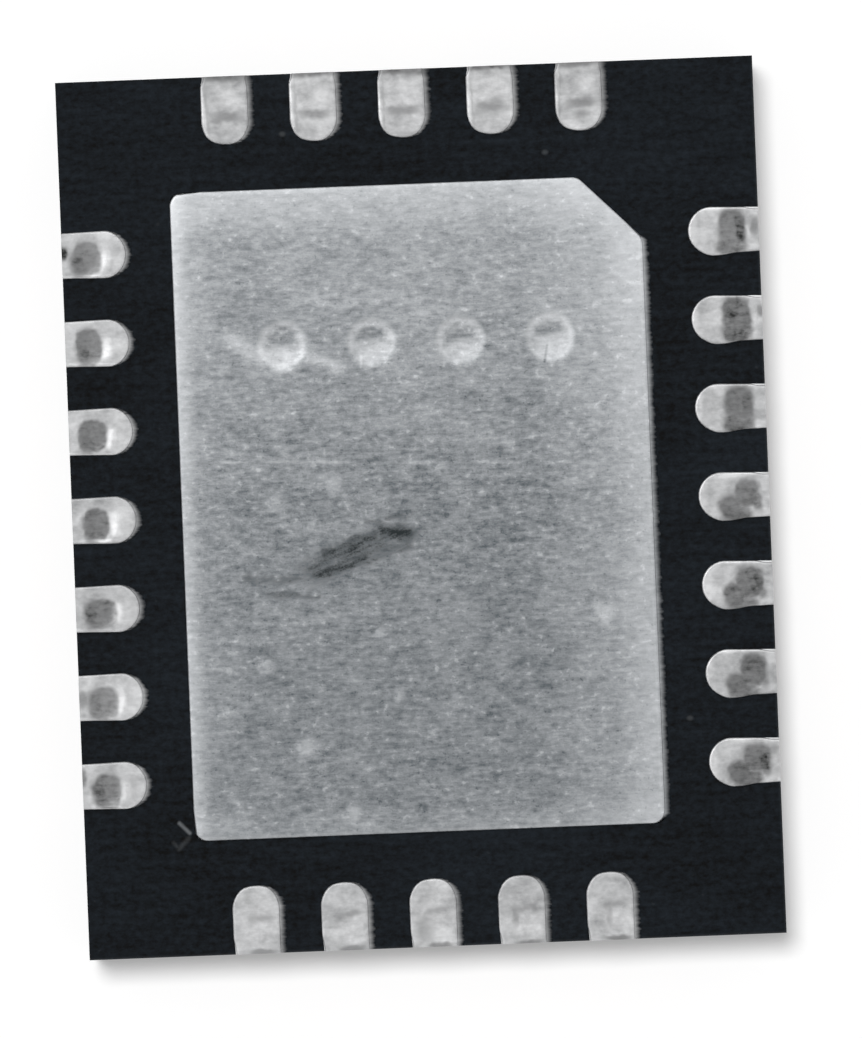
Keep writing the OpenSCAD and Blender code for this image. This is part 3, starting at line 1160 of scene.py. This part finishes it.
# Turn is in degrees, and smear is the way that tin is drawn off the land.
# Root is half the width at the sawn side, and swell is how much wider the tin is than the copper under it.
# A bulge is its middle, how far it is pushed and how far that reaches.
# A dent is its middle, its half sizes, its tilt, its share of the full depth and the width of its wall.
# A stain (a rubbed spot, painted darker as a dark reflection) or a painted glint is its middle, half sizes,
# tilt, strength and the share of its edge that is soft.
ROWS = (
    Row(
        numbers=range(1, 8), turn=0, smear=(0, 0), root=0.125, swell=1.0,
        bulges=[((-0.235, -0.134), (0, -0.009), 0.10), ((-0.01, 0.125), (0, -0.010), 0.08)],
        dents=[((-0.135, 0.01), (0.07, 0.09), 0.0, 0.35, 0.03)],
        stains=[
            ((-0.146, 0.000), (0.082, 0.128), 0.08, 0.66, 0.50),
            ((-0.105, 0.000), (0.034, 0.112), 0.1, 0.70, 0.90),
            ((-0.160, -0.090), (0.080, 0.050), 0.0, 0.66, 0.60),
        ],
        late=[
            ((-0.124, 0.010), (0.078, 0.086), 0.0, 0.67, 0.44),
            ((-0.085, 0.000), (0.032, 0.080), 0.2, 0.70, 0.90),
            ((-0.222, -0.066), (0.062, 0.072), 0.3, 0.62, 0.60),
            ((-0.172, -0.106), (0.082, 0.044), 0.0, 0.62, 0.70),
        ],
        shines=[
            ((-0.060, -0.098), (0.055, 0.020), 0.15, 0.8, 1.0),
            ((-0.385, 0.0), (0.030, 0.10), 0.0, 0.7, 1.0),
            ((-0.150, 0.121), (0.170, 0.009), 0.0, 0.8, 1.0),
        ],
        own_stains={
            1: [((-0.020, 0.025), (0.024, 0.045), 0.0, 0.45, 1.0)],
            2: [((-0.012, 0.030), (0.016, 0.030), 0.0, 0.45, 1.0)],
            7: [((-0.030, 0.060), (0.030, 0.030), 0.0, 0.40, 1.0)],
        },
    ),
    Row(
        numbers=range(8, 13), turn=-90, smear=(0, 1), root=0.133, swell=1.03,
        bulges=[
            ((0.0, -0.132), (0, 0.013), 0.09),
            ((-0.352, -0.085), (-0.006, 0.0), 0.07),
            ((-0.352, 0.085), (-0.006, 0.0), 0.07),
        ],
        dents=[((-0.12, 0.02), (0.05, 0.05), 0.0, 0.35, 0.06)],
        stains=[
            ((-0.208, 0.030), (0.016, 0.045), 0.15, 0.26, 1.4),
            ((-0.195, -0.025), (0.022, 0.030), 0.5, 0.24, 1.4),
            ((-0.002, 0.030), (0.016, 0.070), 0.0, 0.45, 0.8),
        ],
        shines=[((-0.105, 0.030), (0.065, 0.065), 0.0, 0.55, 1.2)],
        own_stains={
            8: [((-0.140, -0.005), (0.070, 0.014), 0.0, 0.26, 1.4)],
            9: [
                ((-0.160, -0.040), (0.060, 0.018), 0.1, 0.28, 1.4),
                ((-0.195, 0.072), (0.030, 0.018), 0.0, 0.26, 1.4),
            ],
            10: [((-0.110, -0.060), (0.065, 0.045), 0.0, 0.24, 1.4)],
        },
    ),
    Row(
        numbers=range(13, 20), turn=180, smear=(-1, 0), root=0.128, swell=1.0,
        bulges=[],
        dents=[
            ((-0.160, 0.010), (0.055, 0.075), 0.0, 0.45, 0.05),
            ((-0.164, 0.008), (0.034, 0.070), 0.0, 0.72, 0.066),
        ],
        stains=[
            ((-0.138, 0.032), (0.082, 0.092), 0.0, 0.60, 0.32),
            ((-0.094, 0.040), (0.042, 0.080), 0.2, 0.70, 1.0),
        ],
        late=[
            ((-0.140, 0.024), (0.076, 0.096), 0.0, 0.60, 0.26),
            ((-0.098, 0.050), (0.042, 0.070), 0.2, 0.70, 1.0),
        ],
        shines=[
            ((-0.246, 0.028), (0.028, 0.064), 0.0, 0.95, 1.0),
            ((-0.310, 0.0), (0.080, 0.13), 0.0, 0.24, 1.0),
            ((-0.150, 0.121), (0.170, 0.009), 0.0, 0.8, 1.0),
        ],
        own_stains={
            13: [
                ((-0.008, -0.050), (0.022, 0.045), 0.0, 0.60, 1.0),
                ((-0.255, 0.020), (0.050, 0.090), 0.0, 0.14, 1.0),
            ],
            14: [((-0.030, 0.010), (0.028, 0.045), 0.2, 0.45, 1.0)],
            19: [((0.0, -0.015), (0.030, 0.040), 0.0, 0.90, 1.0)],
        },
    ),
    Row(
        numbers=range(20, 25), turn=90, smear=(0, -1), root=0.133, swell=1.03,
        bulges=[
            ((-0.352, 0.092), (-0.005, 0.004), 0.08),
            ((-0.352, -0.085), (-0.005, 0.0), 0.08),
            ((0.0, -0.126), (0, 0.008), 0.06),
            ((0.0, 0.134), (0, -0.018), 0.05),
        ],
        dents=[((-0.235, 0.0), (0.013, 0.065), -0.1, 0.25, 0.04)],
        stains=[
            ((-0.232, -0.005), (0.024, 0.082), 0.03, 0.44, 1.3),
            ((0.0, 0.0), (0.024, 0.150), 0.0, 0.62, 1.2),
            ((-0.190, 0.106), (0.150, 0.006), 0.0, 0.20, 1.0),
        ],
        shines=[
            ((-0.125, -0.045), (0.048, 0.060), 0.0, 0.65, 1.2),
            ((-0.190, 0.124), (0.150, 0.008), 0.0, 0.80, 1.0),
        ],
        own_stains={
            20: [((-0.250, 0.045), (0.018, 0.030), 0.0, 0.42, 1.2)],
            23: [((-0.225, -0.030), (0.045, 0.050), 0.0, 0.28, 1.4)],
            24: [((-0.288, -0.015), (0.024, 0.040), 0.2, 0.32, 1.3)],
        },
    ),
)


class OBJECT_OT_chip_leads(bpy.types.Operator):
    """Models the 24 leads: one for each row, copied along it and dented one by one"""

    bl_idname = "object.chip_leads"
    bl_label = "Leads"

    def execute(self, context):
        sizes = sizes_in_mm(context)
        finishes = context.scene.chip_finishes
        tin = land_material(finishes)
        chance = random.Random(finishes.seed)
        # The noise takes its seed from the clock if it is given 0.
        noise.seed_set(finishes.seed + 1)
        for row in ROWS:
            pattern = self.add_lead(sizes, row)
            for number in row.numbers:
                lead = self.copy_lead(pattern, number)
                self.wear(lead, row, sizes, chance, number)
                coat(lead, tin)
                turn = math.radians(row.turn)
                finish_piece(lead, turn, self.root_of(turn, number), f"lead_{number:02d}")
            bpy.data.objects.remove(pattern)
        return {"FINISHED"}

    def root_of(self, turn, number):
        """Where the middle line of a lead leaves the body."""
        low, high = [corner * PER_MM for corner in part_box(f"lead_{number:02d}")]
        middle = (low + high) / 2
        out = (round(math.cos(turn)), round(math.sin(turn)))
        if out[0]:
            return (out[0] * HALF_WIDTH, middle.y)
        return (middle.x, out[1] * HALF_LENGTH)

    def reach_of(self, row, sizes):
        """Length of the row's lands, from the sawn side to the tip."""
        low, high = [corner * PER_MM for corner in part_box(f"lead_{row.numbers[0]:02d}")]
        size = high - low
        along = size.y if abs(row.turn) == QUARTER else size.x
        return along - sizes.lead_lip

    def add_lead(self, sizes, row):
        rim = sizes.rim
        radius = sizes.land_width / 2
        tip = -(self.reach_of(row, sizes) - radius)
        flat = radius - rim
        lead = add_sheet("lead", (tip - flat, -flat), (SAW_ALLOWANCE, flat), LAND_CELL)
        trim_round((tip, 0), flat, QUARTER, 3 * QUARTER, TIP_CUTS)
        for side in (1, -1):
            start = Vector((tip, side * radius))
            run = Vector((0, side * row.root)) - start
            outward = Vector((-run.y, run.x)).normalized()
            if outward.y * side < 0:
                outward = -outward
            trim(start - outward * rim, outward)
        roll_rim(rim, (flat, flat), (tip, 0))
        drop_walls(rim, COPPER_BACK)
        join_solid(lead, self.add_lip(sizes, tip, radius))
        reopen(lead)
        trim((0, 0), (1, 0), fill=True)
        close_edit()
        return lead

    def add_lip(self, sizes, tip, radius):
        lip = add_piece(
            "lead_lip",
            bpy.ops.mesh.primitive_circle_add,
            vertices=LIP_SIDES,
            radius=radius + sizes.lead_lip,
            fill_type="NGON",
            location=(tip, 0, COPPER_BACK),
        )
        pick(lip, lambda co: co.x > tip + TINY)
        resize((0, 1, 1), (-sizes.lip_setback, 0, 0))
        thicken(sizes.etched)
        bpy.ops.mesh.select_all(action="SELECT")
        bpy.ops.mesh.remove_doubles(threshold=WELD)
        close_edit()
        return lip

    def copy_lead(self, pattern, number):
        select_only(pattern)
        bpy.ops.object.duplicate(linked=False)
        lead = bpy.context.active_object
        lead.name = f"land_{number:02d}"
        lead.data.name = lead.name
        return lead

    def wear(self, lead, row, sizes, chance, number):
        """Smears one edge of a lead, presses its dents, rubs it dark with painted dark reflections and paints
        its glints, a little differently on each.
        """
        radius = sizes.land_width / 2
        tip = radius - self.reach_of(row, sizes)
        start = -tip if row.smear[0] else 0
        reopen(lead)
        if any(row.smear):
            pull_back(lead, row.smear, start, radius, sizes.smear_pull)
            smear_edge(lead, row.smear, start, radius, sizes, number * SEEDS_A_LAND)
        pick(lead, lambda co: co.z > MOULD_FACE)
        resize((1, row.swell, 1))
        for middle, push, reach in row.bulges:
            self.bulge(lead, middle, push, reach)
        for middle, half, tilt, share, spread in row.dents:
            place, size, turn = self.vary(chance, middle, half, tilt)
            press(lead, place, size, turn, sizes.dent_depth * share * chance.uniform(*DENT_RANGE), spread)
        pick(lead, lambda co: co.x > 0)
        resize((0, 1, 1))
        bpy.ops.object.mode_set(mode="OBJECT")
        # Rubbed spots with painted dark reflections, and painted glints.
        stains = (RUBBED_AND_DARK_REFLECTION_LAYER, row.stains_on(number), RAGGED)
        for layer, spots, ragged in (stains, (PAINTED_GLINT_LAYER, row.shines, 0)):
            varied = [
                (*self.vary(chance, middle, half, tilt), strength * chance.uniform(*RUB_RANGE), soft)
                for middle, half, tilt, strength, soft in spots
            ]
            self.rub(lead, layer, varied, number, ragged)
        self.write_smear_shade(lead, row.smear, start, radius)

    def write_smear_shade(self, lead, way, start, reach):
        """Writes how far each vertex belongs to the smeared edge, where shade is painted, to one of the
        lead's layers.
        """
        values = lead.data.attributes.new(SMEAR_SHADE_LAYER, "FLOAT", "POINT").data
        for vertex in lead.data.vertices:
            past = vertex.co.x * way[0] + vertex.co.y * way[1] - start
            values[vertex.index].value = min(1, max(0, past / reach * SMEAR_SHADE_GAIN)) if any(way) else 0

    def bulge(self, lead, middle, push, reach):
        """Pushes the edge of the tin sideways and leaves the copper below the mould face where it is."""
        near = (2 * LAND_CELL) ** 2
        bpy.ops.mesh.reveal(select=False)
        pick(lead, lambda co: co.z < MOULD_FACE)
        bpy.ops.mesh.hide(unselected=False)
        pick(lead, lambda co: (co.x - middle[0]) ** 2 + (co.y - middle[1]) ** 2 < near)
        push_softly((*push, 0), "SMOOTH", reach)
        bpy.ops.mesh.reveal(select=False)

    def vary(self, chance, middle, half, tilt):
        """Moves, sizes and turns a spot a little."""
        place = [part + chance.uniform(-stray, stray) for part, stray in zip(middle, PLACE_STRAY)]
        size = [part * chance.uniform(*SIZE_RANGE) for part in half]
        return place, size, tilt + chance.uniform(-TILT_STRAY, TILT_STRAY)

    def rub(self, lead, layer, spots, number, ragged):
        """Writes how strongly each vertex is rubbed, with painted dark reflection, or glints, as a painted
        highlight, to one of the lead's layers, in ragged spots.
        """
        values = lead.data.attributes.new(layer, "FLOAT", "POINT").data
        for vertex in lead.data.vertices:
            most = 0
            stray = noise.noise_vector(vertex.co * RAGGED_PER_MM + Vector((0, 0, number))) * ragged
            for middle, half, tilt, strength, soft in spots:
                dx = vertex.co.x + stray.x - middle[0]
                dy = vertex.co.y + stray.y - middle[1]
                reach = oval_power(dx, dy, half, tilt, RUB_SQUARENESS) ** (1 / RUB_SQUARENESS)
                fade = min(1, max(0, (1 + soft / 2 - reach) / soft))
                most = max(most, strength * fade * fade * (3 - 2 * fade))
            values[vertex.index].value = most


# Stage

WHITE = (1, 1, 1, 1)
FLOOR_SIZE = 0.6
FLOOR_DROP = 0.0005 * MM
FIBRE_SHADE = 0.99
DARK_ABOVE = [math.cos(math.radians(degrees)) for degrees in (18, 4)]
LAMP_DISTANCE = 150 * MM
PANEL_AIM = (-0.09, 0.15, 1.0)
PANEL_SPREAD = 6.0
SOFT_BOX_AIM = (-0.40, 0.50, 1.0)
SOFT_BOX_SPREAD = 24
LENS = 300
SENSOR = 36
CLIP_START = 0.2 * MM
CLIP_END = 10


class OBJECT_OT_chip_stage(bpy.types.Operator):
    """Sets the floor, the light and the camera"""

    bl_idname = "object.chip_stage"
    bl_label = "Stage"

    def execute(self, context):
        stage = context.scene.chip_stage
        context.scene.view_settings.view_transform = "Standard"
        self.lay_floor(stage)
        self.light_sky(context.scene, stage)
        self.hang_lamps(stage)
        self.place_camera(context.scene, stage)
        return {"FINISHED"}

    def lay_floor(self, stage):
        bpy.ops.object.select_all(action="DESELECT")
        bpy.ops.mesh.primitive_plane_add(size=FLOOR_SIZE, location=(0, 0, -FLOOR_DROP))
        floor = bpy.context.active_object
        floor.name = "floor"
        material, recipe = start_material("floor_paper")
        fibres = recipe.noise(recipe.place(), "fibres")
        white = recipe.blend(fibres, opaque([stage.floor * FIBRE_SHADE] * 3), opaque([stage.floor] * 3))
        paper = recipe.node("ShaderNodeBsdfDiffuse", {}, {"Color": white}, "BSDF")
        shine = seen_rays(recipe) * stage.floor_glow
        glow = recipe.node("ShaderNodeEmission", {}, {"Color": WHITE, "Strength": shine}, "Emission")
        both = recipe.node("ShaderNodeAddShader", {}, [paper, glow])
        recipe.node("ShaderNodeOutputMaterial", {}, {"Surface": both}, None)
        coat(floor, material)

    def light_sky(self, scene, stage):
        world = bpy.data.worlds.new("studio")
        scene.world = world
        world.use_nodes = True
        recipe = Recipe(world.node_tree)
        height = recipe.split(recipe.node("ShaderNodeTexCoord", {}, {}, "Generated"))[2]
        above = recipe.ramp(height, *DARK_ABOVE)
        shown = stage.sky + above * (stage.overhead - stage.sky)
        seen = seen_rays(recipe)
        strength = seen * shown + (1 - seen) * stage.fill
        sky = recipe.node("ShaderNodeBackground", {}, {"Color": WHITE, "Strength": strength}, "Background")
        recipe.node("ShaderNodeOutputWorld", {}, {"Surface": sky}, None)

    def hang_lamp(self, name, aim, spread, energy):
        lamp = bpy.data.lights.new(name, "AREA")
        lamp.shape = "DISK"
        lamp.size = 2 * LAMP_DISTANCE * math.tan(math.radians(spread))
        lamp.energy = energy
        hung = bpy.data.objects.new(name, lamp)
        bpy.context.scene.collection.objects.link(hung)
        towards = Vector(aim).normalized()
        hung.location = towards * LAMP_DISTANCE
        hung.rotation_euler = towards.to_track_quat("Z", "Y").to_euler()
        return hung

    def hang_lamps(self, stage):
        """A panel overhead that metal does not mirror, and a soft box at the upper left that it does."""
        whole = math.pi ** 2 * LAMP_DISTANCE ** 2
        panel = self.hang_lamp("panel", PANEL_AIM, PANEL_SPREAD, stage.panel * whole)
        panel.visible_glossy = False
        area = math.pi * (LAMP_DISTANCE * math.tan(math.radians(SOFT_BOX_SPREAD))) ** 2
        energy = stage.key * math.pi * area
        soft_box = self.hang_lamp("soft_box", SOFT_BOX_AIM, SOFT_BOX_SPREAD, energy)
        soft_box.visible_diffuse = False

    def place_camera(self, scene, stage):
        view = bpy.data.cameras.new("camera")
        view.lens = LENS
        view.sensor_width = SENSOR
        view.clip_start = CLIP_START
        view.clip_end = CLIP_END
        camera = bpy.data.objects.new("camera", view)
        scene.collection.objects.link(camera)
        distance = stage.view_height * view.lens / view.sensor_width
        camera.location = (stage.view_x, stage.view_y, LAND_TOP * MM + distance)
        camera.rotation_euler = (0, 0, stage.roll)
        scene.camera = camera


class VIEW3D_PT_chip(bpy.types.Panel):
    """Lists the chip's operators and values"""

    bl_idname = "VIEW3D_PT_chip"
    bl_label = "Chip"
    bl_space_type = "VIEW_3D"
    bl_region_type = "UI"
    bl_category = "Chip"

    def draw(self, context):
        layout = self.layout
        for operator in OPERATORS:
            layout.operator(operator.bl_idname)
        for group in (context.scene.chip_sizes, context.scene.chip_finishes, context.scene.chip_stage):
            box = layout.box()
            for name in group.__annotations__:
                box.prop(group, name)


GROUPS = {"chip_sizes": ChipSizes, "chip_finishes": ChipFinishes, "chip_stage": ChipStage}
OPERATORS = (
    OBJECT_OT_chip_mould,
    OBJECT_OT_chip_inside,
    OBJECT_OT_chip_paddle,
    OBJECT_OT_chip_leads,
    OBJECT_OT_chip_stage,
)
CLASSES = (*GROUPS.values(), *OPERATORS, VIEW3D_PT_chip)


def register():
    for kind in CLASSES:
        bpy.utils.register_class(kind)
    for name, group in GROUPS.items():
        setattr(bpy.types.Scene, name, PointerProperty(type=group))


def unregister():
    for name in GROUPS:
        delattr(bpy.types.Scene, name)
    for kind in reversed(CLASSES):
        bpy.utils.unregister_class(kind)


def main():
    register()
    bpy.ops.object.chip_mould()
    bpy.ops.object.chip_inside()
    bpy.ops.object.chip_paddle()
    bpy.ops.object.chip_leads()
    bpy.ops.object.chip_stage()


if __name__ == "__main__":
    main()
